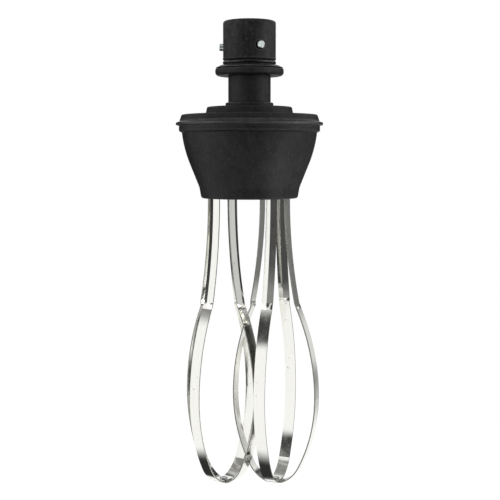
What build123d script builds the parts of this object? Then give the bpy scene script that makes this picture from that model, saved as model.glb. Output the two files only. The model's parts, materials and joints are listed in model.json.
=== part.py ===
from build123d import *
import os
from math import acos, asin, cos, degrees, pi, radians, sin, tan

# Twin whisk attachment for a stick mixer, in millimetres.
# Z is the coupling axis and points to the motor, Z = 0 is the seat on the coupling flange,
# and the two whisk axes stand side by side along X.

# Clearances on the radius
SEAT = 0.02
RUN = 0.04
HOLE = 0.05

# Coupling spigot
spigot_d = 40.0
spigot_h = 33.3
spigot_edge = 1.8
spigot_bore_d = 32.0
spigot_bore_floor = 10.0
bore_chamfer = 0.8
flange_d = 51.0
flange_t = 2.4
flange_cone_w = 3.1
flange_cone_h = 1.5
flange_under_w = 1.4
flange_under_h = 0.6
shank_d = 26.5
shank_len = 19.6
oring_section = 3.0
oring_proud = 0.25
gland_w = 3.2
gland_lift = 0.6
gland_chamfer = 0.6
bead_h = 1.2
bead_proud = 0.2
relief_w = 0.7
relief_depth = 0.4

# Bayonet pins
pin_d = 5.6
pin_count = 3
pin_height = 14.1
pin_reach = 2.9
pin_floor = 1.2
pin_first_angle = -67.0
pin_tip_chamfer = 0.5
pin_relief_w = 0.7
pin_relief_depth = 1.4

# Gearbox cover, from its collar down to the joint with the housing
collar_d = 52.0
collar_t = 5.3
collar_edge = 2.8
collar_top_edge = 0.9
neck_d = 32.3
neck_len = 20.1
base_ring_d = 36.4
base_ring_t = 3.2
shoulder_d = 64.6
shoulder_h = 6.0
shoulder_edge = 1.3
shoulder_foot_d = 67.0
shoulder_foot_round = 2.2
joint_d = 106.8
disc_h = 5.1
disc_draft = 1.5
disc_edge = 0.5
cover_wall = 3.0
register_inset = 3.6
register_h = 7.0
register_gap = 0.1

# Seal ring between cover and housing, whose edge is the lip
lip_overhang = 2.6
lip_t = 3.1
lip_round = 0.8

# Gearbox housing
band_proud = 0.3
band_h = 4.4
band_edge = 0.5
bowl_step = 0.9
bowl_inset = 1.9
bowl_knee_inset = 3.4
bowl_knee_drop = 17.6
bowl_knee_round = 92.0
bowl_waist_inset = 15.1
bowl_waist_drop = 46.8
bowl_waist_round = 12.0
bowl_foot_inset = 16.5
bowl_edge = 2.0
housing_h = 55.0
housing_wall = 3.2
floor_drop = 20.8
floor_t = 3.5

# Housing screws, driven up through the floor into the cover
screw_r = 2.0
screw_head_d = 8.0
screw_head_t = 2.8
screw_head_edge = 0.8
screw_recess_d = 4.0
screw_recess_depth = 1.4
screw_circle_r = 38.0
screw_angles = (60, 120, 240, 300)
screw_post_d = 9.0
screw_split_drop = 5.8
screw_bite = 9.0

# Gears
pinion_teeth = 12
driven_teeth = 30
timing_teeth = 27
timing_module = 1.5
pressure_angle = 20.0
addendum = 0.8
dedendum = 1.0
backlash = 0.16
drive_face = 8.0
timing_face = 8.0
gear_hub_d = 15.0
gear_gap = 0.4
floor_gap = 2.9

# Drive shaft and its coupling
shaft_d = 8.0
shaft_end_d = 7.0
shaft_flat = 0.8
bush_wall = 3.0
shaft_bush_upper_len = 12.0
shaft_bush_lower_len = 16.0
boss_wall = 3.5
coupling_d = 18.0
coupling_gap = 0.8
coupling_floor = 8.0
socket_d = 10.0
socket_depth = 8.5
coupling_web = 2.0
tongue_w = 3.0
tongue_depth = 5.0
cross_pin_d = 3.0
pinion_ring_t = 0.6
pinion_ring_inset = 0.3

# Spindles
spindle_d = 10.0
journal_d = 8.0
spindle_flat = 0.8
collar_ring_d = 14.0
collar_ring_t = 1.6
spindle_bush_upper_len = 8.0
spindle_bush_upper_wall = 2.0
spindle_boss_wall = 2.5
spindle_bush_lower_len = 9.0
bush_flange_t = 1.0
bush_flange_w = 1.4
seal_h = 4.5
seal_lip = 1.4
lower_boss_len = 10.5
lower_boss_wall = 1.5
circlip_t = 1.0
circlip_d = 14.4
circlip_gap_deg = 50.0
groove_depth = 0.6

# Whisk hubs
hub_flat = 9.7
hub_corner_d = 24.4
hub_h = 13.0
hub_gap = 1.0
hub_seat_d = 9.0
hub_rivet_drop = 4.6
hub_pin_drop = 10.2
hub_rivet_d = 4.0
hub_rivet_head_d = 6.6
hub_rivet_head_t = 1.1
hub_rivet_grip = 4.6

# Whisk strips
strip_w = 8.8
strip_t = 1.0
crease_depth = 1.7
crease_run_in = 5.0
crease_run_out = 5.0
bulb_d = 68.6
kink_r = 18.6
kink_drop = 185.2
whisk_reach = 321.9
bottom_seat = 5.6
bottom_bend_r = 2.5
bottom_bend_deg = 22.0
toe_r = 25.5
toe_deg = 40.0
tip_rivet_d = 4.0
tip_rivet_head_d = 6.4
tip_rivet_head_t = 1.0
tip_rivet_tail_t = 0.6
left_phase = 51.5
right_phase = 67.5

# Heights that follow from the stack of pieces
centre_distance = timing_module * timing_teeth
axis_x = centre_distance / 2
drive_module = 2 * axis_x / (pinion_teeth + driven_teeth)
pinion_root_r = drive_module * (pinion_teeth / 2 - dedendum)
collar_bottom = -flange_t - collar_t
neck_bottom = collar_bottom - neck_len
shoulder_top = neck_bottom - base_ring_t
disc_top = shoulder_top - shoulder_h
disc_bottom = disc_top - disc_h
housing_top = disc_bottom - lip_t
housing_bottom = housing_top - housing_h
ceiling = disc_top - cover_wall
shoulder_ceiling = shoulder_top - cover_wall
floor_top = housing_top - floor_drop
floor_bottom = floor_top - floor_t
screw_split = housing_top - screw_split_drop
bush_flange_top = floor_top + bush_flange_t
timing_bottom = floor_top + floor_gap
timing_top = timing_bottom + timing_face
drive_bottom = timing_top + collar_ring_t + gear_gap
drive_top = drive_bottom + drive_face
hub_top_face = drive_top + collar_ring_t
boss_bottom = hub_top_face + gear_gap
lower_boss_bottom = floor_bottom - lower_boss_len
whisk_hub_top = lower_boss_bottom - hub_gap
whisk_hub_bottom = whisk_hub_top - hub_h
coupling_top = spigot_bore_floor - 0.5
coupling_bottom = -coupling_floor + 0.3
shaft_top = coupling_top - socket_depth - coupling_web

# Radii that several pieces share
spigot_r = spigot_d / 2
pin_seat_r = spigot_bore_d / 2 + pin_floor
shaft_r = shaft_d / 2
shaft_end_r = shaft_end_d / 2
shaft_bush_r = shaft_r + bush_wall
spindle_r = spindle_d / 2
journal_r = journal_d / 2
upper_bush_r = journal_r + spindle_bush_upper_wall
lower_bush_r = spindle_r + bush_wall
joint_r = joint_d / 2
bowl_waist_d = joint_d - 2 * bowl_waist_inset
bowl_foot_d = joint_d - 2 * bowl_foot_inset
register_r = joint_r - register_inset
band_r = joint_r + band_proud
gland_r = spigot_r + oring_proud - oring_section
screw_points = [
    (screw_circle_r * cos(radians(a)), screw_circle_r * sin(radians(a))) for a in screw_angles
]
spindle_axes = {"left": -axis_x, "right": axis_x}
whisk_phases = {"left": left_phase, "right": right_phase}


def turned(*corners):
    """Solid turned about Z. A corner is (radius, height) or (radius, height, round)."""
    points = [corner[:2] for corner in corners]
    rounds = [corner[2] if len(corner) > 2 else 0 for corner in corners]
    outline = FilletPolyline(*points, radius=rounds, close=True)
    return revolve(Plane.XZ * make_face(outline), Axis.Z)


def rod(radius, bottom, top, x=0.0, y=0.0):
    """Upright cylinder between two heights."""
    return Pos(x, y, (bottom + top) / 2) * Cylinder(radius, top - bottom)


def d_rod(radius, flat, bottom, top):
    """Upright rod with one flat, cut to the given depth on its +X side."""
    beyond = Pos(2 * radius - flat, 0, (bottom + top) / 2) * Box(2 * radius, 4 * radius, top - bottom)
    return rod(radius, bottom, top) - beyond


def radial(solid, angle, radius=0.0, height=0.0):
    """Turn a solid made along Z so that its +Z points outward at an angle."""
    return Rot(0, 0, angle) * Pos(radius, 0, height) * Rot(0, 90, 0) * solid


def group(solids):
    """Separate solids that share one node."""
    return Compound([piece for solid in solids for piece in solid.solids()])


# Coupling


def make_coupling_spigot():
    top = spigot_h
    shank_bottom = -flange_t - shank_len
    gland_top = gland_lift + gland_w
    bead_bottom = gland_top + gland_chamfer
    bead_r = spigot_r + bead_proud
    flange_r = flange_d / 2
    bore_r = spigot_bore_d / 2
    well_r = coupling_d / 2 + coupling_gap
    body = turned(
        (bore_r, top - bore_chamfer),
        (bore_r + bore_chamfer, top),
        (spigot_r, top, spigot_edge),
        (spigot_r, bead_bottom + bead_h),
        (bead_r, bead_bottom + bead_h - bead_proud),
        (bead_r, bead_bottom + bead_proud),
        (spigot_r, bead_bottom),
        (spigot_r - gland_chamfer, gland_top),
        (gland_r, gland_top),
        (gland_r, gland_lift),
        (spigot_r, gland_lift),
        (spigot_r, -relief_depth),
        (spigot_r + relief_w, -relief_depth),
        (spigot_r + relief_w, 0),
        (flange_r - flange_cone_w, 0),
        (flange_r, -flange_cone_h),
        (flange_r, -flange_t + flange_under_h),
        (flange_r - flange_under_w, -flange_t),
        (shank_d / 2, -flange_t),
        (shank_d / 2, shank_bottom),
        (shaft_bush_r, shank_bottom),
        (shaft_bush_r, -coupling_floor),
        (well_r, -coupling_floor),
        (well_r, spigot_bore_floor),
        (bore_r, spigot_bore_floor),
    )
    for angle in pin_angles():
        body -= radial(rod(pin_d / 2 + SEAT, pin_seat_r, spigot_d), angle, 0, pin_height)
        relief = rod(pin_d / 2 + pin_relief_w, spigot_r - pin_relief_depth, spigot_d)
        body -= radial(relief, angle, 0, pin_height)
    return body


def pin_angles():
    return [pin_first_angle + i * 360 / pin_count for i in range(pin_count)]


def make_bayonet_pins():
    inner = pin_seat_r + SEAT
    outer = spigot_r + pin_reach
    pin = turned(
        (0, inner),
        (pin_d / 2, inner),
        (pin_d / 2, outer - pin_tip_chamfer),
        (pin_d / 2 - pin_tip_chamfer, outer),
        (0, outer),
    )
    return group([radial(pin, angle, 0, pin_height) for angle in pin_angles()])


def make_spigot_oring():
    height = gland_lift + gland_w / 2
    cord_r = oring_section / 2 - SEAT
    return Pos(0, 0, height) * Torus(gland_r + oring_section / 2, cord_r)


def make_shaft_bush(bottom, length):
    outer = shaft_bush_r - SEAT
    inner = shaft_r + RUN
    return rod(outer, bottom, bottom + length) - rod(inner, bottom, bottom + length)


def make_drive_coupling():
    body = rod(coupling_d / 2, coupling_bottom, coupling_top)
    body = chamfer(body.edges().group_by(Axis.Z)[-1], bore_chamfer)
    body -= rod(shaft_r + SEAT, coupling_bottom, shaft_top + SEAT)
    body -= rod(socket_d / 2, coupling_top - socket_depth, coupling_top)
    slot_centre = coupling_top - tongue_depth / 2
    body -= Pos(0, 0, slot_centre) * Box(coupling_d, tongue_w, tongue_depth)
    return body - radial(cross_pin(coupling_d, HOLE), 90, 0, coupling_pin_height())


def coupling_pin_height():
    return (coupling_bottom + shaft_top) / 2


def cross_pin(length, clearance=0.0):
    """Straight pin centred on its own axis."""
    return Cylinder(cross_pin_d / 2 + clearance, length)


def make_drive_shaft():
    bottom = pinion_bottom() - 2 * gear_gap - pinion_ring_t
    ring_top = pinion_bottom() - SEAT
    groove_r = shaft_end_r - groove_depth
    body = turned(
        (0, shaft_top),
        (shaft_r, shaft_top, 0.4),
        (shaft_r, hub_top_face + gear_gap / 2),
        (shaft_end_r, hub_top_face + gear_gap / 2),
        (shaft_end_r, ring_top),
        (groove_r, ring_top),
        (groove_r, ring_top - pinion_ring_t - 2 * SEAT),
        (shaft_end_r, ring_top - pinion_ring_t - 2 * SEAT),
        (shaft_end_r, bottom),
        (0, bottom),
    )
    seat_top = hub_top_face + gear_gap / 2
    flat_away = rod(shaft_end_r, ring_top, seat_top) - d_rod(shaft_end_r, shaft_flat, ring_top, seat_top)
    body -= flat_away
    return body - radial(cross_pin(coupling_d, HOLE), 90, 0, coupling_pin_height())


def pinion_bottom():
    return drive_top - drive_face + gear_gap


# Gears


def gear_blank(module, teeth, bottom, top, phase):
    """Involute spur gear. Each flank is one arc through its root, pitch and tip points."""
    pitch_r = module * teeth / 2
    base_r = pitch_r * cos(radians(pressure_angle))
    root_r = pitch_r - dedendum * module
    tip_r = pitch_r + addendum * module
    thick = (pi * module / 2 - backlash) / (2 * pitch_r)

    def half_angle(radius):
        lean = acos(min(1.0, base_r / radius))
        pitch_lean = radians(pressure_angle)
        return thick + (tan(pitch_lean) - pitch_lean) - (tan(lean) - lean)

    def at(radius, angle):
        return (radius * cos(angle), radius * sin(angle))

    stations = (root_r, pitch_r, tip_r)
    points = []
    for i in range(teeth):
        middle = radians(phase) + 2 * pi * i / teeth
        points += [at(r, middle - half_angle(r)) for r in stations]
        points += [at(r, middle + half_angle(r)) for r in reversed(stations)]
    outline = Polyline(*points, close=True)
    return Pos(0, 0, bottom) * extrude(make_face(outline), top - bottom)


def make_pinion():
    half_pitch = 180 + 180 / pinion_teeth
    body = gear_blank(drive_module, pinion_teeth, pinion_bottom(), drive_top, half_pitch)
    body += rod(pinion_root_r, drive_top, hub_top_face)
    return body - d_rod(shaft_end_r + SEAT, shaft_flat, pinion_bottom(), hub_top_face)


def make_driven_gear():
    body = gear_blank(drive_module, driven_teeth, drive_bottom, drive_top, 0)
    body += rod(gear_hub_d / 2, drive_top, hub_top_face)
    return body - d_rod(spindle_r + SEAT, spindle_flat, drive_bottom, hub_top_face)


def make_timing_gear(phase):
    body = gear_blank(timing_module, timing_teeth, timing_bottom, timing_top, phase)
    return body - d_rod(spindle_r + SEAT, spindle_flat, timing_bottom, timing_top)


def make_spindle_spacer():
    """Sleeve that fills the driven gear's place on the other spindle."""
    body = rod(gear_hub_d / 2, drive_bottom, hub_top_face)
    return body - rod(spindle_r + SEAT, drive_bottom, hub_top_face)


def snap_ring(inner_r, outer_r, top, thickness):
    """Open ring that snaps into a groove, with its gap on the -X side."""
    ring = rod(outer_r, top - thickness, top) - rod(inner_r, top - thickness, top)
    half = radians(circlip_gap_deg / 2)
    reach = 2 * outer_r
    gap = Polyline((0, 0), (-reach, reach * tan(half)), (-reach, -reach * tan(half)), close=True)
    return ring - Pos(0, 0, top - thickness) * extrude(make_face(gap), thickness)


# Spindles and their bearings


def make_spindle():
    seat_top = hub_top_face - gear_gap
    top = boss_bottom + spindle_bush_upper_len - gear_gap
    collar_top = drive_bottom - gear_gap / 2
    collar_low = collar_top - collar_ring_t
    ring_top = timing_bottom - SEAT
    ring_low = ring_top - circlip_t - 2 * SEAT
    hub_r = hub_seat_d / 2
    body = turned(
        (0, top),
        (journal_r, top, 0.4),
        (journal_r, seat_top),
        (spindle_r, seat_top),
        (spindle_r, collar_top),
        (collar_ring_d / 2, collar_top),
        (collar_ring_d / 2, collar_low),
        (spindle_r, collar_low),
        (spindle_r, ring_top),
        (spindle_r - groove_depth, ring_top),
        (spindle_r - groove_depth, ring_low),
        (spindle_r, ring_low),
        (spindle_r, whisk_hub_top),
        (hub_r, whisk_hub_top),
        (hub_r, whisk_hub_bottom),
        (0, whisk_hub_bottom),
    )
    for low, high in ((collar_top, seat_top), (ring_top, collar_low)):
        body -= rod(spindle_r, low, high) - d_rod(spindle_r, spindle_flat, low, high)
    return body


def make_spindle_bush_upper():
    outer = upper_bush_r - SEAT
    inner = journal_r + RUN
    top = boss_bottom + spindle_bush_upper_len
    return rod(outer, boss_bottom, top) - rod(inner, boss_bottom, top)


def make_spindle_bush_lower():
    bottom = floor_top - spindle_bush_lower_len
    outer = lower_bush_r - SEAT
    flange_r = lower_bush_r + bush_flange_w
    body = rod(outer, bottom, floor_top) + rod(flange_r, floor_top, bush_flange_top)
    return body - rod(spindle_r + RUN, bottom, bush_flange_top)


def make_spindle_seal():
    top = floor_top - spindle_bush_lower_len - SEAT
    bottom = top - seal_h
    outer = lower_bush_r - SEAT
    lip_r = spindle_r + RUN
    back_r = lip_r + seal_lip
    return turned(
        (back_r, top),
        (outer, top),
        (outer, bottom),
        (lip_r, bottom),
        (lip_r, bottom + seal_lip),
        (back_r, bottom + 2 * seal_lip),
    )


# Gearbox shells


def make_gearbox_cover():
    bush_top = boss_bottom + shaft_bush_lower_len
    web_top = -flange_t - shank_len - gear_gap
    register_bottom = disc_bottom - register_h
    register_in = register_r - cover_wall
    well_r = shoulder_d / 2 - cover_wall
    boss_r = shaft_bush_r + boss_wall
    body = turned(
        (shank_d / 2 + HOLE, -flange_t),
        (collar_d / 2, -flange_t, collar_top_edge),
        (collar_d / 2, collar_bottom, collar_edge),
        (neck_d / 2, collar_bottom),
        (neck_d / 2, neck_bottom),
        (base_ring_d / 2 - disc_edge, neck_bottom),
        (base_ring_d / 2, neck_bottom - disc_edge),
        (base_ring_d / 2, shoulder_top),
        (shoulder_d / 2, shoulder_top, shoulder_edge),
        (shoulder_foot_d / 2, disc_top, shoulder_foot_round),
        (joint_r - disc_draft - disc_edge, disc_top),
        (joint_r - disc_draft, disc_top - disc_edge),
        (joint_r, disc_bottom),
        (register_r, disc_bottom),
        (register_r, register_bottom),
        (register_in, register_bottom),
        (register_in, ceiling),
        (well_r, ceiling),
        (well_r, shoulder_ceiling),
        (boss_r, shoulder_ceiling),
        (boss_r, boss_bottom),
        (shaft_bush_r, boss_bottom),
        (shaft_bush_r, bush_top),
        (shaft_r + coupling_gap, bush_top),
        (shaft_r + coupling_gap, web_top),
        (shank_d / 2 + HOLE, web_top),
    )
    boss_top = boss_bottom + spindle_bush_upper_len
    for x in spindle_axes.values():
        body += rod(upper_bush_r + spindle_boss_wall, boss_bottom, shoulder_ceiling, x)
        body -= rod(upper_bush_r, boss_bottom, boss_top, x)
    for x, y in screw_points:
        body += rod(screw_post_d / 2, screw_split, ceiling, x, y)
        body -= rod(screw_r + SEAT, screw_split, screw_split + screw_bite + gear_gap, x, y)
    return body


def make_housing_seal():
    inner = register_r + register_gap
    return turned(
        (inner, disc_bottom),
        (joint_r, disc_bottom),
        (joint_r + lip_overhang, disc_bottom - lip_t / 4, lip_round),
        (joint_r + lip_overhang, housing_top + lip_t / 8, lip_round),
        (band_r, housing_top),
        (inner, housing_top),
    )


def bowl_corners():
    """Outside of the bowl from its step down to its bottom edge."""
    return [
        (joint_r - bowl_inset, housing_top - band_h - bowl_step),
        (joint_r - bowl_knee_inset, housing_top - bowl_knee_drop, bowl_knee_round),
        (bowl_waist_d / 2, housing_top - bowl_waist_drop, bowl_waist_round),
        (bowl_foot_d / 2, housing_bottom, bowl_edge),
    ]


def bowl_inside(height):
    """Inner radius of the bowl's wall at a height."""
    corners = bowl_corners()
    for (r_high, high, *_), (r_low, low, *_) in zip(corners, corners[1:]):
        if height >= low:
            share = (high - height) / (high - low)
            return r_high + share * (r_low - r_high) - housing_wall
    return bowl_foot_d / 2 - housing_wall


def make_gearbox_housing():
    rim_r = register_r + register_gap
    ledge = disc_bottom - register_h - gear_gap
    waist = housing_top - bowl_waist_drop
    body = turned(
        (rim_r, housing_top),
        (band_r, housing_top),
        (band_r, housing_top - band_h + band_edge),
        (band_r - band_edge, housing_top - band_h),
        *bowl_corners(),
        (bowl_inside(housing_bottom), housing_bottom),
        (bowl_inside(waist), waist),
        (bowl_inside(floor_bottom), floor_bottom),
        (0, floor_bottom),
        (0, floor_top),
        (bowl_inside(floor_top), floor_top),
        (bowl_inside(ledge), ledge),
        (rim_r, ledge),
    )
    for x in spindle_axes.values():
        body += rod(lower_bush_r + lower_boss_wall, lower_boss_bottom, floor_bottom, x)
        body -= rod(lower_bush_r, lower_boss_bottom, floor_top, x)
    for x, y in screw_points:
        body += rod(screw_post_d / 2, floor_top, screw_split, x, y)
        body -= rod(screw_r + 4 * HOLE, floor_bottom, screw_split, x, y)
    return body


def make_housing_screws():
    head_low = floor_bottom - screw_head_t
    tip = screw_split + screw_bite
    screw = turned(
        (0, head_low),
        (screw_head_d / 2 - screw_head_edge, head_low),
        (screw_head_d / 2, head_low + screw_head_edge),
        (screw_head_d / 2, floor_bottom),
        (screw_r, floor_bottom),
        (screw_r, tip - screw_r / 2),
        (screw_r / 2, tip),
        (0, tip),
    )
    socket = RegularPolygon(screw_recess_d / 2, 6)
    screw -= Pos(0, 0, head_low) * extrude(socket, screw_recess_depth)
    return group([Pos(x, y, 0) * screw for x, y in screw_points])


# Whisks


def make_whisk_hub():
    body = rod(hub_corner_d / 2, whisk_hub_bottom, whisk_hub_top)
    middle = (whisk_hub_bottom + whisk_hub_top) / 2
    body &= Pos(0, 0, middle) * Box(2 * hub_flat, 2 * hub_flat, hub_h)
    body -= rod(hub_seat_d / 2 + SEAT, whisk_hub_bottom, whisk_hub_top)
    body -= radial(cross_pin(hub_corner_d, HOLE), 45, 0, whisk_hub_top - hub_pin_drop)
    for angle in range(0, 360, 90):
        depth = hub_rivet_grip + SEAT
        hole = Pos(0, 0, hub_flat - depth / 2) * Cylinder(hub_rivet_d / 2 + HOLE, depth)
        body -= radial(hole, angle, 0, whisk_hub_top - hub_rivet_drop)
    return body


def make_hub_rivets():
    seat = hub_flat + strip_t
    rivet = turned(
        (0, hub_flat - hub_rivet_grip + HOLE),
        (hub_rivet_d / 2, hub_flat - hub_rivet_grip + HOLE),
        (hub_rivet_d / 2, seat),
        (hub_rivet_head_d / 2, seat),
        (hub_rivet_head_d / 2, seat + hub_rivet_head_t / 2),
        (hub_rivet_d / 2, seat + hub_rivet_head_t),
        (0, seat + hub_rivet_head_t),
    )
    height = whisk_hub_top - hub_rivet_drop
    return group([radial(rivet, angle, 0, height) for angle in range(0, 360, 90)])


def make_hub_pin():
    return radial(cross_pin(hub_corner_d - 2 * HOLE), 45, 0, whisk_hub_top - hub_pin_drop)


def make_tip_rivet():
    low = -whisk_reach
    high = low + 2 * strip_t
    dimple = tip_rivet_d / 4
    return turned(
        (0, low - tip_rivet_tail_t),
        (tip_rivet_d / 2, low - tip_rivet_tail_t),
        (tip_rivet_head_d / 2, low - tip_rivet_tail_t / 2),
        (tip_rivet_head_d / 2, low),
        (tip_rivet_d / 2, low),
        (tip_rivet_d / 2, high),
        (tip_rivet_head_d / 2, high),
        (tip_rivet_head_d / 2, high + tip_rivet_head_t, tip_rivet_head_t / 2),
        (dimple, high + tip_rivet_head_t),
        (0, high + tip_rivet_head_t / 2),
    )


def bulb_arcs():
    """Radii and turns, in degrees, of the strip's inner face from its bottom seat to the kink."""
    bend = bottom_bend_deg
    toe_end = bend + toe_deg
    equator_r = bulb_d / 2 - strip_t
    toe_reach = toe_r * (sin(radians(toe_end)) - sin(radians(bend)))
    reach = bottom_seat + bottom_bend_r * sin(radians(bend)) + toe_reach
    belly_r = (equator_r - reach) / (1 - sin(radians(toe_end)))
    rise = bottom_bend_r * (1 - cos(radians(bend)))
    rise += toe_r * (cos(radians(bend)) - cos(radians(toe_end))) + belly_r * cos(radians(toe_end))
    climb = whisk_reach - strip_t - kink_drop - rise
    inset = equator_r - kink_r
    side_r = (climb**2 + inset**2) / (2 * inset)
    lean = degrees(asin(climb / side_r))
    return [(bottom_bend_r, bend), (toe_r, toe_deg), (belly_r, 90 - toe_end), (side_r, lean)]


def bulb_edges(offset):
    """Half of the loop's outline, a given distance outside the strip's inner face."""
    point = (bottom_seat, strip_t - whisk_reach - offset)
    edges = [Line((0, point[1]), point)]
    heading = 0.0
    for radius, turn in bulb_arcs():
        tangent = (cos(radians(heading)), sin(radians(heading)))
        arc = JernArc(point, tangent, radius + offset, turn)
        edges.append(arc)
        end = arc @ 1
        point = (end.X, end.Y)
        heading += turn
    return edges, point, heading


def chevron(inner_r, crease):
    """Strip section in the plane Z = 0, its inner face at a radius, its ridge outward by crease."""
    half = strip_w / 2
    low = inner_r - crease / 2
    high = inner_r + crease / 2
    inner = [(low, -half), (high, 0), (low, half)]
    outer = [(r + strip_t, y) for r, y in reversed(inner)]
    return make_face(Polyline(*inner, *outer, close=True))


def make_leg(crease):
    """Creased leg on the +X side, from its flat tab on the hub down to the kink."""
    tab_top = whisk_hub_top - strip_t
    tab_bottom = whisk_hub_bottom - strip_t
    crease_top = tab_bottom - crease_run_in
    drop = kink_drop + crease_top
    flare = kink_r - hub_flat
    arc_r = (drop**2 + flare**2) / (2 * flare)
    turn = degrees(asin(drop / arc_r))
    fade = degrees(crease_run_out / arc_r)
    centre = Axis((hub_flat + arc_r, 0, crease_top), (0, -1, 0))
    tab_middle = (tab_top + tab_bottom) / 2
    tab = Pos(hub_flat + strip_t / 2, 0, tab_middle) * Box(strip_t, strip_w, tab_top - tab_bottom)
    flat_end = Pos(0, 0, tab_bottom) * chevron(hub_flat, 0)
    start = Pos(0, 0, crease_top) * chevron(hub_flat, crease)
    swept = revolve(start, centre, turn - fade)
    stop = start.rotate(centre, turn - fade)
    (_, (end_r, end_z), heading) = bulb_edges(0)
    kink = Pos(end_r, 0, end_z) * Rot(0, 90 - heading, 0) * chevron(0, 0)
    return tab + loft([flat_end, start], ruled=True) + swept + loft([stop, kink], ruled=True)


def make_strip(lift):
    """One strip loop. Both creases ridge to the same side, as pressed together in one die."""
    inner, inner_end, _ = bulb_edges(0)
    outer, outer_end, _ = bulb_edges(strip_t)
    rim = inner + outer + [Line(inner_end, outer_end), Line(inner[0] @ 0, outer[0] @ 0)]
    half = Plane.XZ * make_face(rim)
    bow = extrude(half, strip_w / 2, both=True)
    right = bow + make_leg(crease_depth)
    left = bow + make_leg(-crease_depth)
    loop = right + left.mirror(Plane.YZ)
    hole_r = hub_rivet_d / 2 + HOLE
    hole_z = whisk_hub_top - hub_rivet_drop - lift
    loop -= radial(Cylinder(hole_r, 4 * hub_flat), 0, 0, hole_z)
    loop -= rod(tip_rivet_d / 2 + HOLE, -whisk_reach, strip_t - whisk_reach)
    return Pos(0, 0, lift) * loop


def make_whisk(side):
    """Everything that turns with one spindle below the gears."""
    spot = Pos(spindle_axes[side], 0, 0) * Rot(0, 0, whisk_phases[side])
    inner_leg = 180
    outer_leg = 270
    return {
        f"whisk_hub_{side}": spot * make_whisk_hub(),
        f"hub_pin_{side}": spot * make_hub_pin(),
        f"hub_rivets_{side}": spot * make_hub_rivets(),
        f"strip_inner_{side}": spot * Rot(0, 0, inner_leg) * make_strip(strip_t),
        f"strip_outer_{side}": spot * Rot(0, 0, outer_leg) * make_strip(0),
        f"tip_rivet_{side}": spot * make_tip_rivet(),
    }


def make_spindle_set(side):
    """One spindle with its bearings, timing gear and snap ring."""
    spot = Pos(spindle_axes[side], 0, 0)
    spindle = make_spindle()
    hub_pin_hole = radial(
        cross_pin(hub_corner_d, HOLE), whisk_phases[side] + 45, 0, whisk_hub_top - hub_pin_drop
    )
    phase = 0 if side == "left" else 180 + 180 / timing_teeth
    ring_top = timing_bottom - 2 * SEAT
    ring_inner = spindle_r - groove_depth + SEAT
    return {
        f"spindle_{side}": spot * (spindle - hub_pin_hole),
        f"spindle_bush_upper_{side}": spot * make_spindle_bush_upper(),
        f"spindle_bush_lower_{side}": spot * make_spindle_bush_lower(),
        f"spindle_seal_{side}": spot * make_spindle_seal(),
        f"timing_gear_{side}": spot * make_timing_gear(phase),
        f"circlip_{side}": spot * snap_ring(ring_inner, circlip_d / 2, ring_top, circlip_t),
    }


def make_parts():
    shank_bottom = -flange_t - shank_len
    ring_top = pinion_bottom() - 2 * SEAT
    ring_inner = shaft_end_r - groove_depth + SEAT
    pin_height = coupling_pin_height()
    parts = {
        "coupling_spigot": make_coupling_spigot(),
        "bayonet_pins": make_bayonet_pins(),
        "spigot_oring": make_spigot_oring(),
        "gearbox_cover": make_gearbox_cover(),
        "housing_seal": make_housing_seal(),
        "gearbox_housing": make_gearbox_housing(),
        "housing_screws": make_housing_screws(),
        "shaft_bush_upper": make_shaft_bush(shank_bottom, shaft_bush_upper_len),
        "shaft_bush_lower": make_shaft_bush(boss_bottom, shaft_bush_lower_len),
        "drive_shaft": make_drive_shaft(),
        "drive_coupling": make_drive_coupling(),
        "coupling_pin": radial(cross_pin(coupling_d - 2 * HOLE), 90, 0, pin_height),
        "drive_pinion": make_pinion(),
        "pinion_circlip": snap_ring(ring_inner, pinion_root_r - pinion_ring_inset, ring_top, pinion_ring_t),
        "driven_gear": Pos(spindle_axes["left"], 0, 0) * make_driven_gear(),
        "spindle_spacer": Pos(spindle_axes["right"], 0, 0) * make_spindle_spacer(),
    }
    for side in spindle_axes:
        parts.update(make_spindle_set(side))
        parts.update(make_whisk(side))
    return parts


os.makedirs("parts", exist_ok=True)
for node, shape in make_parts().items():
    export_step(shape, f"parts/{node}.step")
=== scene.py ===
"""Looks of a twin whisk attachment: black moulded shells, bright pins and polished steel strip loops."""

import json
import math

import bpy
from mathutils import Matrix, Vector

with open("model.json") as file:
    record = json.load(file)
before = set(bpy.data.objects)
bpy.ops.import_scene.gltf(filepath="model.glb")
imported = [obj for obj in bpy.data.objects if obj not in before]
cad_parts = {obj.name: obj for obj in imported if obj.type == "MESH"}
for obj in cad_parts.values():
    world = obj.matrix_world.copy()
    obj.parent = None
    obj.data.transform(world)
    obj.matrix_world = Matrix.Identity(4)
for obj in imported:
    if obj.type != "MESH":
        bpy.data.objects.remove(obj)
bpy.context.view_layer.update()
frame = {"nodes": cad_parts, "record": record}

# Camera, in metres. The photograph shows PIXEL metres a pixel at the coupling axis.
FRAME_PIXELS = 500
SENSOR_MM = 36.0
PIXEL = 0.00077
EYE_DISTANCE = 0.811
EYE_HEIGHT = -0.069
AIM_X = 0.0004
AIM_HEIGHT = -0.1402

# Level direction of each strip loop, in degrees
LOOP_ANGLES = {
    "strip_inner_left": 51.5,
    "strip_outer_left": 141.5,
    "strip_inner_right": 67.5,
    "strip_outer_right": 157.5,
}

# Plastic: gloss, the palest that a rub gets, reach in metres of edge wear with a painted highlight and of
# painted shade in grooves, and gains of the light colour
PLASTIC_GLOSS = 0.17
WHITE_PLASTIC = 0.80
EDGE_REACH = 0.0014
GROOVE_REACH = 0.0025
GROOVE_SHADE = 0.05
DRAG_GAIN = 2.8
EDGE_GAIN_LOW = 3.5
EDGE_GAIN_HIGH = 7.0
GRAIN_STRENGTH = 0.8
GRAIN_DEPTH = 0.0004
OCCLUSION_SAMPLES = 6

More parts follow.
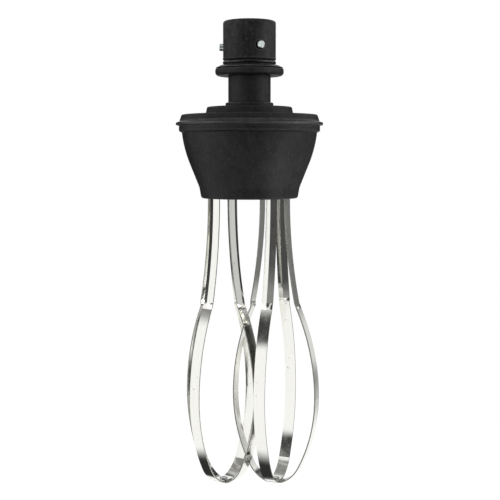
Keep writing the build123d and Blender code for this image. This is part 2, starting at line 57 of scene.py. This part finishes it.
# Strip: dark and light tone of the rolled face, of handling marks and of sheared edges
FACE_TONES = ((0.885, 0.88, 0.838), (0.955, 0.95, 0.908))
MARK_TONES = ((0.40, 0.39, 0.36), (0.62, 0.61, 0.57))
BURR_TONES = ((0.20, 0.20, 0.185), (0.42, 0.42, 0.39))

# Share of a face's normal across the strip, from where it starts to be a sheared edge to where it is one
SHEARED_START = 0.80
SHEARED_END = 0.88

# Depth of rolling and turning lines, in metres
LINE_DEPTH = 0.00003

# Stretch of the noise that makes lines: drag along the draw, rolling lines of strip, rings of turned metal
DRAG_STRETCH = (620.0, 620.0, 60.0)
ROLL_STRETCH = (1500.0, 1500.0, 22.0)
RING_STRETCH = (60.0, 60.0, 5200.0)

# Studio
FLOOR_HEIGHT = -1.10
FLOOR_SIZE = 12.0
FLOOR_GREY = 0.8
FLOOR_GLOW = 0.55
WORLD_LEVEL = 0.55

# Lamps, aimed at the middle of the part: name, power, size and place
LAMPS = (
    ("left_lamp", 9.0, (0.7, 1.2), (-1.0, -0.55, 0.05)),
    ("right_lamp", 9.0, (0.7, 1.2), (1.0, -0.45, 0.05)),
    ("top_lamp", 5.0, (0.9, 0.9), (0.0, 0.2, 1.0)),
)

# Cards around the set: name, level, place, facing, width and height
CARD_SOFTNESS = 0.45
CARDS = (
    ("flag_front", 0.07, (0.06, -1.0, -0.33), (0, 1, 0), 1.60, 1.06),
    ("flag_front_high", 0.04, (-0.15, -0.80, 0.38), (0, 1, 0), 2.60, 0.62),
    ("flag_left_high", 0.25, (-0.95, 0.0, 0.44), (1, 0, 0), 0.90, 0.60),
    ("flag_left_behind", 0.03, (-0.20, 0.20, -0.14), (0.80, -0.60, 0), 0.32, 0.26),
    ("flag_left_low", 0.03, (-0.12, 0.32, -0.32), (0.35, -0.85, 0.38), 0.28, 0.28),
    ("flag_ceiling", 0.28, (0.0, 0.0, 0.85), (0, 0, -1), 2.60, 1.70),
    ("flag_right", 0.18, (0.30, 0.05, -0.17), (-1, 0, 0), 0.24, 0.28),
    ("flag_right_front", 0.60, (0.375, -0.225, -0.13), (-0.87, 0.50, 0), 0.14, 0.20),
    ("flag_right_low", 0.05, (0.30, 0.14, -0.36), (-1, 0, 0), 0.30, 0.25),
    ("flag_behind", 0.04, (0.255, 0.40, -0.19), (0, -1, 0), 0.28, 0.30),
    ("flag_back", 0.50, (0.0, 1.40, -0.25), (0, -1, 0), 1.20, 0.80),
    ("flag_back_right", 0.72, (0.58, 0.69, -0.30), (-0.64, -0.77, 0), 0.56, 0.66),
    ("flag_under", 0.03, (-0.19, 0.05, -0.60), (0, 0, 1), 0.46, 0.49),
    ("flag_cover_left", 0.05, (-0.225, 0.268, -0.02), (0.64, -0.77, 0), 0.36, 0.30),
    ("flag_cover_right", 0.05, (0.225, 0.268, -0.02), (-0.64, -0.77, 0), 0.30, 0.30),
    ("reflector_left", 2.0, (-0.44, -0.25, -0.03), (0.87, 0.49, 0), 0.26, 0.36),
    ("reflector_right", 3.2, (0.50, -0.11, 0.0), (-0.98, 0.21, 0), 0.24, 0.30),
    ("reflector_right_low", 6.0, (0.48, -0.15, -0.44), (-0.75, 0.21, 0.62), 0.32, 0.36),
)


# Node helpers


def node_material(name):
    """New material, its node tree and its Principled shader."""
    material = bpy.data.materials.new(name)
    material.use_nodes = True
    return material, material.node_tree, material.node_tree.nodes["Principled BSDF"]


def object_coords(tree, stretch=(1.0, 1.0, 1.0)):
    """Object coordinates in metres, stretched along each axis."""
    coords = tree.nodes.new("ShaderNodeTexCoord")
    mapping = tree.nodes.new("ShaderNodeMapping")
    mapping.inputs["Scale"].default_value = stretch
    tree.links.new(coords.outputs["Object"], mapping.inputs["Vector"])
    return mapping.outputs["Vector"]


def noise(tree, scale, detail=2.0, stretch=(1.0, 1.0, 1.0)):
    """Noise factor with features of about one over scale metres."""
    texture = tree.nodes.new("ShaderNodeTexNoise")
    texture.inputs["Scale"].default_value = scale
    texture.inputs["Detail"].default_value = detail
    tree.links.new(object_coords(tree, stretch), texture.inputs["Vector"])
    return texture.outputs["Fac"]


def ramp(tree, factor, low, high, dark, light):
    """Colour from dark to light while the factor goes from low to high."""
    node = tree.nodes.new("ShaderNodeValToRGB")
    node.color_ramp.elements[0].position = low
    node.color_ramp.elements[0].color = (*dark, 1.0)
    node.color_ramp.elements[1].position = high
    node.color_ramp.elements[1].color = (*light, 1.0)
    tree.links.new(factor, node.inputs["Fac"])
    return node.outputs["Color"]


def map_range(tree, value, start, end, low, high, curve="LINEAR"):
    """Number from low to high as the value goes from start to end."""
    node = tree.nodes.new("ShaderNodeMapRange")
    node.interpolation_type = curve
    node.inputs["From Min"].default_value = start
    node.inputs["From Max"].default_value = end
    node.inputs["To Min"].default_value = low
    node.inputs["To Max"].default_value = high
    tree.links.new(value, node.inputs["Value"])
    return node.outputs["Result"]


def spread(tree, factor, low, high):
    """Number from low to high over the middle of a noise factor's range."""
    return map_range(tree, factor, 0.3, 0.7, low, high)


def math_of(tree, operation, *values):
    """Result of a named operation on one or two numbers."""
    node = tree.nodes.new("ShaderNodeMath")
    node.operation = operation
    for socket, value in zip(node.inputs, values):
        tree.links.new(value, socket)
    return node.outputs["Value"]


def mix_colours(tree, factor, first, second):
    """First colour where the factor is 0, second where it is 1."""
    node = tree.nodes.new("ShaderNodeMix")
    node.data_type = "RGBA"
    tree.links.new(factor, node.inputs["Factor"])
    tree.links.new(first, node.inputs["A"])
    tree.links.new(second, node.inputs["B"])
    return node.outputs["Result"]


def add_bump(tree, shader, height, strength, depth):
    """Bump from a height factor."""
    node = tree.nodes.new("ShaderNodeBump")
    node.inputs["Strength"].default_value = strength
    node.inputs["Distance"].default_value = depth
    tree.links.new(height, node.inputs["Height"])
    tree.links.new(node.outputs["Normal"], shader.inputs["Normal"])


def openness(tree, reach, inside=False):
    """1 where nothing lies near, less in corners, or at edges when it looks inside the solid."""
    node = tree.nodes.new("ShaderNodeAmbientOcclusion")
    node.samples = OCCLUSION_SAMPLES
    node.inside = inside
    node.inputs["Distance"].default_value = reach
    return node.outputs["AO"]


def grey(level):
    """Colour with three equal parts."""
    return (level, level, level)


def paler(colour, factor):
    """Colour times a factor, no paler than white plastic."""
    return tuple(min(factor * part, WHITE_PLASTIC) for part in colour)


# Materials


def painted_shade_in_corners(tree, reach, shade):
    """Painted shade: 1 on open surfaces, falling to a dark level in grooves and inside corners."""
    return map_range(tree, openness(tree, reach), 0.35, 0.85, shade, 1.0)


def edge_wear_and_highlight(tree, reach):
    """Edge wear and a painted highlight: 0 on flat faces, rising towards 1 on outside edges, in patches."""
    level = map_range(tree, openness(tree, reach, inside=True), 0.92, 0.50, 0.0, 1.0)
    patches = spread(tree, noise(tree, 220.0, 4.0), 0.45, 1.0)
    return math_of(tree, "MULTIPLY", level, patches)


def scale_colour(tree, colour, factor):
    """Colour times a factor."""
    node = tree.nodes.new("ShaderNodeVectorMath")
    node.operation = "SCALE"
    tree.links.new(colour, node.inputs["Vector"])
    tree.links.new(factor, node.inputs["Scale"])
    return node.outputs["Vector"]


def moulded_plastic(name, dark, light, rough_low, rough_high, grain=2600.0, streaks=0.0, rubs=2.5):
    """Moulded plastic: eroded grain, drag lines along the draw, pale rubs, worn edges with a painted
    highlight, painted shade in the grooves.
    """
    material, tree, shader = node_material(name)
    shader.inputs["Specular IOR Level"].default_value = PLASTIC_GLOSS
    cloud = ramp(tree, noise(tree, 120.0, 6.0), 0.32, 0.72, dark, light)
    lines = noise(tree, 1.0, 5.0, DRAG_STRETCH)
    drag = ramp(tree, lines, 0.42, 0.7, dark, paler(light, DRAG_GAIN))
    drag_mask = spread(tree, noise(tree, 60.0, 3.0), 0.0, streaks)
    worn = mix_colours(tree, drag_mask, cloud, drag)
    rub = ramp(tree, noise(tree, 900.0, 3.0), 0.45, 0.7, light, paler(light, rubs))
    rub_mask = ramp(tree, noise(tree, 420.0, 8.0), 0.55, 0.66, grey(0.0), grey(0.8))
    rubbed = mix_colours(tree, rub_mask, worn, rub)
    # Paler outside edges: partly wear, partly a painted highlight standing in for gloss on rounded edges.
    edge_low = paler(light, EDGE_GAIN_LOW)
    edge_high = paler(light, EDGE_GAIN_HIGH)
    pale = ramp(tree, noise(tree, 700.0, 3.0), 0.3, 0.7, edge_low, edge_high)
    edged = mix_colours(tree, edge_wear_and_highlight(tree, EDGE_REACH), rubbed, pale)
    # Painted shade: the colour darkens in grooves and inside corners, where little light gets in.
    colour = scale_colour(tree, edged, painted_shade_in_corners(tree, GROOVE_REACH, GROOVE_SHADE))
    roughness = spread(tree, noise(tree, 260.0, 6.0), rough_low, rough_high)
    tree.links.new(colour, shader.inputs["Base Color"])
    tree.links.new(roughness, shader.inputs["Roughness"])
    add_bump(tree, shader, noise(tree, grain, 4.0), GRAIN_STRENGTH, GRAIN_DEPTH)
    return material


def facing_along(tree, angle):
    """1 on the faces that look along a level direction or straight against it, 0 on the rest."""
    coords = tree.nodes.new("ShaderNodeTexCoord")
    dot = tree.nodes.new("ShaderNodeVectorMath")
    dot.operation = "DOT_PRODUCT"
    tree.links.new(coords.outputs["Normal"], dot.inputs[0])
    dot.inputs[1].default_value = (math.cos(angle), math.sin(angle), 0.0)
    size = math_of(tree, "ABSOLUTE", dot.outputs["Value"])
    return map_range(tree, size, SHEARED_START, SHEARED_END, 0.0, 1.0)


def mix_values(tree, factor, first, second):
    """First number where the factor is 0, second where it is 1."""
    node = tree.nodes.new("ShaderNodeMix")
    tree.links.new(factor, node.inputs["Factor"])
    tree.links.new(first, node.inputs["A"])
    tree.links.new(second, node.inputs["B"])
    return node.outputs["Result"]


def polished_strip(name, loop_angle):
    """Rolled stainless strip: bright faces with fine lines and handling marks, dull sheared edges."""
    material, tree, shader = node_material(name)
    shader.inputs["Metallic"].default_value = 1.0
    lines = noise(tree, 1.0, 4.0, ROLL_STRETCH)
    tone = ramp(tree, lines, 0.25, 0.75, *FACE_TONES)
    dull = ramp(tree, noise(tree, 620.0, 5.0), 0.0, 1.0, *MARK_TONES)
    marks = ramp(tree, noise(tree, 240.0, 8.0), 0.66, 0.78, grey(0.0), grey(1.0))
    face = mix_colours(tree, marks, tone, dull)
    burr = ramp(tree, noise(tree, 900.0, 4.0), 0.3, 0.7, *BURR_TONES)
    edges = facing_along(tree, loop_angle + math.pi / 2)
    tree.links.new(mix_colours(tree, edges, face, burr), shader.inputs["Base Color"])
    smooth = spread(tree, noise(tree, 130.0, 6.0), 0.05, 0.13)
    torn = spread(tree, noise(tree, 1500.0, 3.0), 0.35, 0.55)
    tree.links.new(mix_values(tree, edges, smooth, torn), shader.inputs["Roughness"])
    add_bump(tree, shader, lines, 0.12, LINE_DEPTH)
    return material


def turned_metal(name, dark, light, rough_low, rough_high):
    """Turned or ground metal with rings around the part's axis."""
    material, tree, shader = node_material(name)
    shader.inputs["Metallic"].default_value = 1.0
    rings = noise(tree, 1.0, 3.0, RING_STRETCH)
    tone = ramp(tree, noise(tree, 300.0, 4.0), 0.3, 0.7, dark, light)
    tree.links.new(tone, shader.inputs["Base Color"])
    tree.links.new(spread(tree, rings, rough_low, rough_high), shader.inputs["Roughness"])
    add_bump(tree, shader, rings, 0.15, LINE_DEPTH)
    return material


def rubber(name, dark, light, rough_low, rough_high):
    """Moulded rubber with a bloom and a faint grain."""
    material, tree, shader = node_material(name)
    bloom = ramp(tree, noise(tree, 240.0, 4.0), 0.3, 0.75, dark, light)
    roughness = spread(tree, noise(tree, 500.0, 3.0), rough_low, rough_high)
    tree.links.new(bloom, shader.inputs["Base Color"])
    tree.links.new(roughness, shader.inputs["Roughness"])
    add_bump(tree, shader, noise(tree, 1800.0, 2.0), 0.15, 0.00006)
    return material


def make_materials():
    """A material for each slot of the record, for each strip loop, and for the spigot, which hands wear."""
    materials = {
        "body_black": moulded_plastic(
            "body_black", grey(0.0068), grey(0.0120), 0.36, 0.48, grain=1100.0, streaks=0.28, rubs=2.0
        ),
        "coupling_plastic": moulded_plastic(
            "coupling_plastic", grey(0.0055), grey(0.0160), 0.34, 0.50, grain=900.0, streaks=1.0, rubs=4.5
        ),
        "gear_plastic": moulded_plastic("gear_plastic", (0.60, 0.58, 0.50), (0.70, 0.68, 0.60), 0.35, 0.5),
        "lip_rubber": rubber("lip_rubber", grey(0.009), grey(0.021), 0.34, 0.48),
        "rubber_black": rubber("rubber_black", grey(0.004), grey(0.007), 0.22, 0.34),
        "rivet_steel": turned_metal("rivet_steel", grey(0.50), grey(0.66), 0.18, 0.3),
        "pin_steel": turned_metal("pin_steel", (0.64, 0.71, 0.69), (0.83, 0.92, 0.90), 0.16, 0.30),
        "shaft_steel": turned_metal("shaft_steel", grey(0.48), grey(0.58), 0.22, 0.34),
        "bronze": turned_metal("bronze", (0.40, 0.26, 0.13), (0.52, 0.36, 0.19), 0.3, 0.45),
    }
    for name, angle in LOOP_ANGLES.items():
        materials[name] = polished_strip(f"strip_steel_{name}", math.radians(angle))
    materials["coupling_spigot"] = moulded_plastic(
        "body_black_handled", grey(0.0045), grey(0.0125), 0.32, 0.50, grain=800.0, streaks=0.45, rubs=3.5
    )
    return materials


def dress_nodes():
    """Give every CAD node its own material, or else the material of its slot."""
    materials = make_materials()
    slots = {part["node"]: part["material_slot"] for part in frame["record"]["subparts"]}
    for name, piece in frame["nodes"].items():
        piece.data.materials.clear()
        piece.data.materials.append(materials.get(name, materials.get(slots[name])))


# Studio


def shader_for_rays(tree, rays, plain, special):
    """The special shader for the named kinds of ray, and the plain one for the rest."""
    path = tree.nodes.new("ShaderNodeLightPath")
    seen = path.outputs[rays[0]]
    for ray in rays[1:]:
        seen = math_of(tree, "MAXIMUM", seen, path.outputs[ray])
    mix = tree.nodes.new("ShaderNodeMixShader")
    tree.links.new(seen, mix.inputs["Fac"])
    tree.links.new(plain, mix.inputs[1])
    tree.links.new(special, mix.inputs[2])
    return mix.outputs["Shader"]


def make_world():
    """Even pale light all round, in front of a white background."""
    world = bpy.data.worlds.new("studio")
    world.use_nodes = True
    bpy.context.scene.world = world
    tree = world.node_tree
    lit = tree.nodes["Background"]
    lit.inputs["Strength"].default_value = WORLD_LEVEL
    lit.inputs["Color"].default_value = (1.0, 1.0, 1.0, 1.0)
    white = tree.nodes.new("ShaderNodeBackground")
    white.inputs["Strength"].default_value = 1.0
    white.inputs["Color"].default_value = (1.0, 1.0, 1.0, 1.0)
    rays = ("Is Camera Ray", "Is Glossy Ray", "Is Transmission Ray")
    shader = shader_for_rays(tree, rays, lit.outputs["Background"], white.outputs["Background"])
    tree.links.new(shader, tree.nodes["World Output"].inputs["Surface"])


def plane(name, width, height, location, facing):
    """Flat sheet whose front looks along a direction."""
    mesh = bpy.data.meshes.new(name)
    half_w = width / 2
    half_h = height / 2
    corners = [(-half_w, -half_h, 0), (half_w, -half_h, 0), (half_w, half_h, 0), (-half_w, half_h, 0)]
    mesh.from_pydata(corners, [], [(0, 1, 2, 3)])
    sheet = bpy.data.objects.new(name, mesh)
    bpy.context.scene.collection.objects.link(sheet)
    sheet.location = location
    sheet.rotation_euler = Vector(facing).to_track_quat("Z", "Y").to_euler()
    return sheet


def make_floor():
    """Pale floor that is white to the lens and keeps the shadow."""
    material, tree, shader = node_material("floor")
    shader.inputs["Base Color"].default_value = (*grey(FLOOR_GREY), 1.0)
    shader.inputs["Roughness"].default_value = 0.9
    glow = tree.nodes.new("ShaderNodeEmission")
    glow.inputs["Strength"].default_value = FLOOR_GLOW
    both = tree.nodes.new("ShaderNodeAddShader")
    tree.links.new(shader.outputs["BSDF"], both.inputs[0])
    tree.links.new(glow.outputs["Emission"], both.inputs[1])
    white = tree.nodes.new("ShaderNodeEmission")
    white.inputs["Strength"].default_value = 1.0
    rays = ("Is Camera Ray", "Is Transmission Ray")
    seen = shader_for_rays(tree, rays, shader.outputs["BSDF"], both.outputs["Shader"])
    mirrored = shader_for_rays(tree, ("Is Glossy Ray",), seen, white.outputs["Emission"])
    tree.links.new(mirrored, tree.nodes["Material Output"].inputs["Surface"])
    floor = plane("floor", FLOOR_SIZE, FLOOR_SIZE, (0, 0, FLOOR_HEIGHT), (0, 0, 1))
    floor.data.materials.append(material)


def edge_fade(tree, width, height):
    """1 in the middle of a card, falling to 0 at its edges."""
    coords = tree.nodes.new("ShaderNodeTexCoord")
    axes = tree.nodes.new("ShaderNodeSeparateXYZ")
    tree.links.new(coords.outputs["Object"], axes.inputs["Vector"])
    fades = []
    for axis, length in (("X", width), ("Y", height)):
        end = length / 2
        start = end * (1 - CARD_SOFTNESS)
        size = math_of(tree, "ABSOLUTE", axes.outputs[axis])
        fades.append(map_range(tree, size, start, end, 1.0, 0.0, "SMOOTHSTEP"))
    return math_of(tree, "MULTIPLY", *fades)


def card(name, level, location, facing, width, height):
    """Soft-edged studio card of a plain grey level that only mirror-like surfaces show."""
    material, tree, shader = node_material(name)
    glow = tree.nodes.new("ShaderNodeEmission")
    glow.inputs["Strength"].default_value = level
    clear = tree.nodes.new("ShaderNodeBsdfTransparent")
    mix = tree.nodes.new("ShaderNodeMixShader")
    tree.links.new(edge_fade(tree, width, height), mix.inputs["Fac"])
    tree.links.new(clear.outputs["BSDF"], mix.inputs[1])
    tree.links.new(glow.outputs["Emission"], mix.inputs[2])
    tree.links.new(mix.outputs["Shader"], tree.nodes["Material Output"].inputs["Surface"])
    tree.nodes.remove(shader)
    sheet = plane(name, width, height, location, facing)
    sheet.data.materials.append(material)
    sheet.visible_camera = False
    sheet.visible_diffuse = False
    sheet.visible_transmission = False
    sheet.visible_shadow = False


def lamp(name, power, size, location, target):
    """Large soft area lamp that mirror-like surfaces don't show."""
    data = bpy.data.lights.new(name, "AREA")
    data.shape = "RECTANGLE"
    data.size = size[0]
    data.size_y = size[1]
    data.energy = power
    light = bpy.data.objects.new(name, data)
    light.location = location
    direction = Vector(target) - Vector(location)
    light.rotation_euler = direction.to_track_quat("-Z", "Y").to_euler()
    light.visible_glossy = False
    bpy.context.scene.collection.objects.link(light)


def make_studio():
    """White surroundings, floor, lamps and cards."""
    middle = (0, 0, AIM_HEIGHT)
    make_world()
    make_floor()
    for name, power, size, location in LAMPS:
        lamp(name, power, size, location, middle)
    for name, level, location, facing, width, height in CARDS:
        card(name, level, location, facing, width, height)


def make_camera():
    """Camera at the photograph's place, upright, with its scale set at the coupling axis."""
    data = bpy.data.cameras.new("camera")
    camera = bpy.data.objects.new("camera", data)
    eye = Vector((AIM_X, -EYE_DISTANCE, EYE_HEIGHT))
    aim = Vector((AIM_X, 0, AIM_HEIGHT))
    data.sensor_width = SENSOR_MM
    data.lens = SENSOR_MM * (aim - eye).length / (FRAME_PIXELS * PIXEL)
    camera.location = eye
    camera.rotation_euler = (aim - eye).to_track_quat("-Z", "Y").to_euler()
    bpy.context.scene.collection.objects.link(camera)
    bpy.context.scene.camera = camera


dress_nodes()
make_studio()
make_camera()
bpy.context.scene.view_settings.view_transform = "Standard"
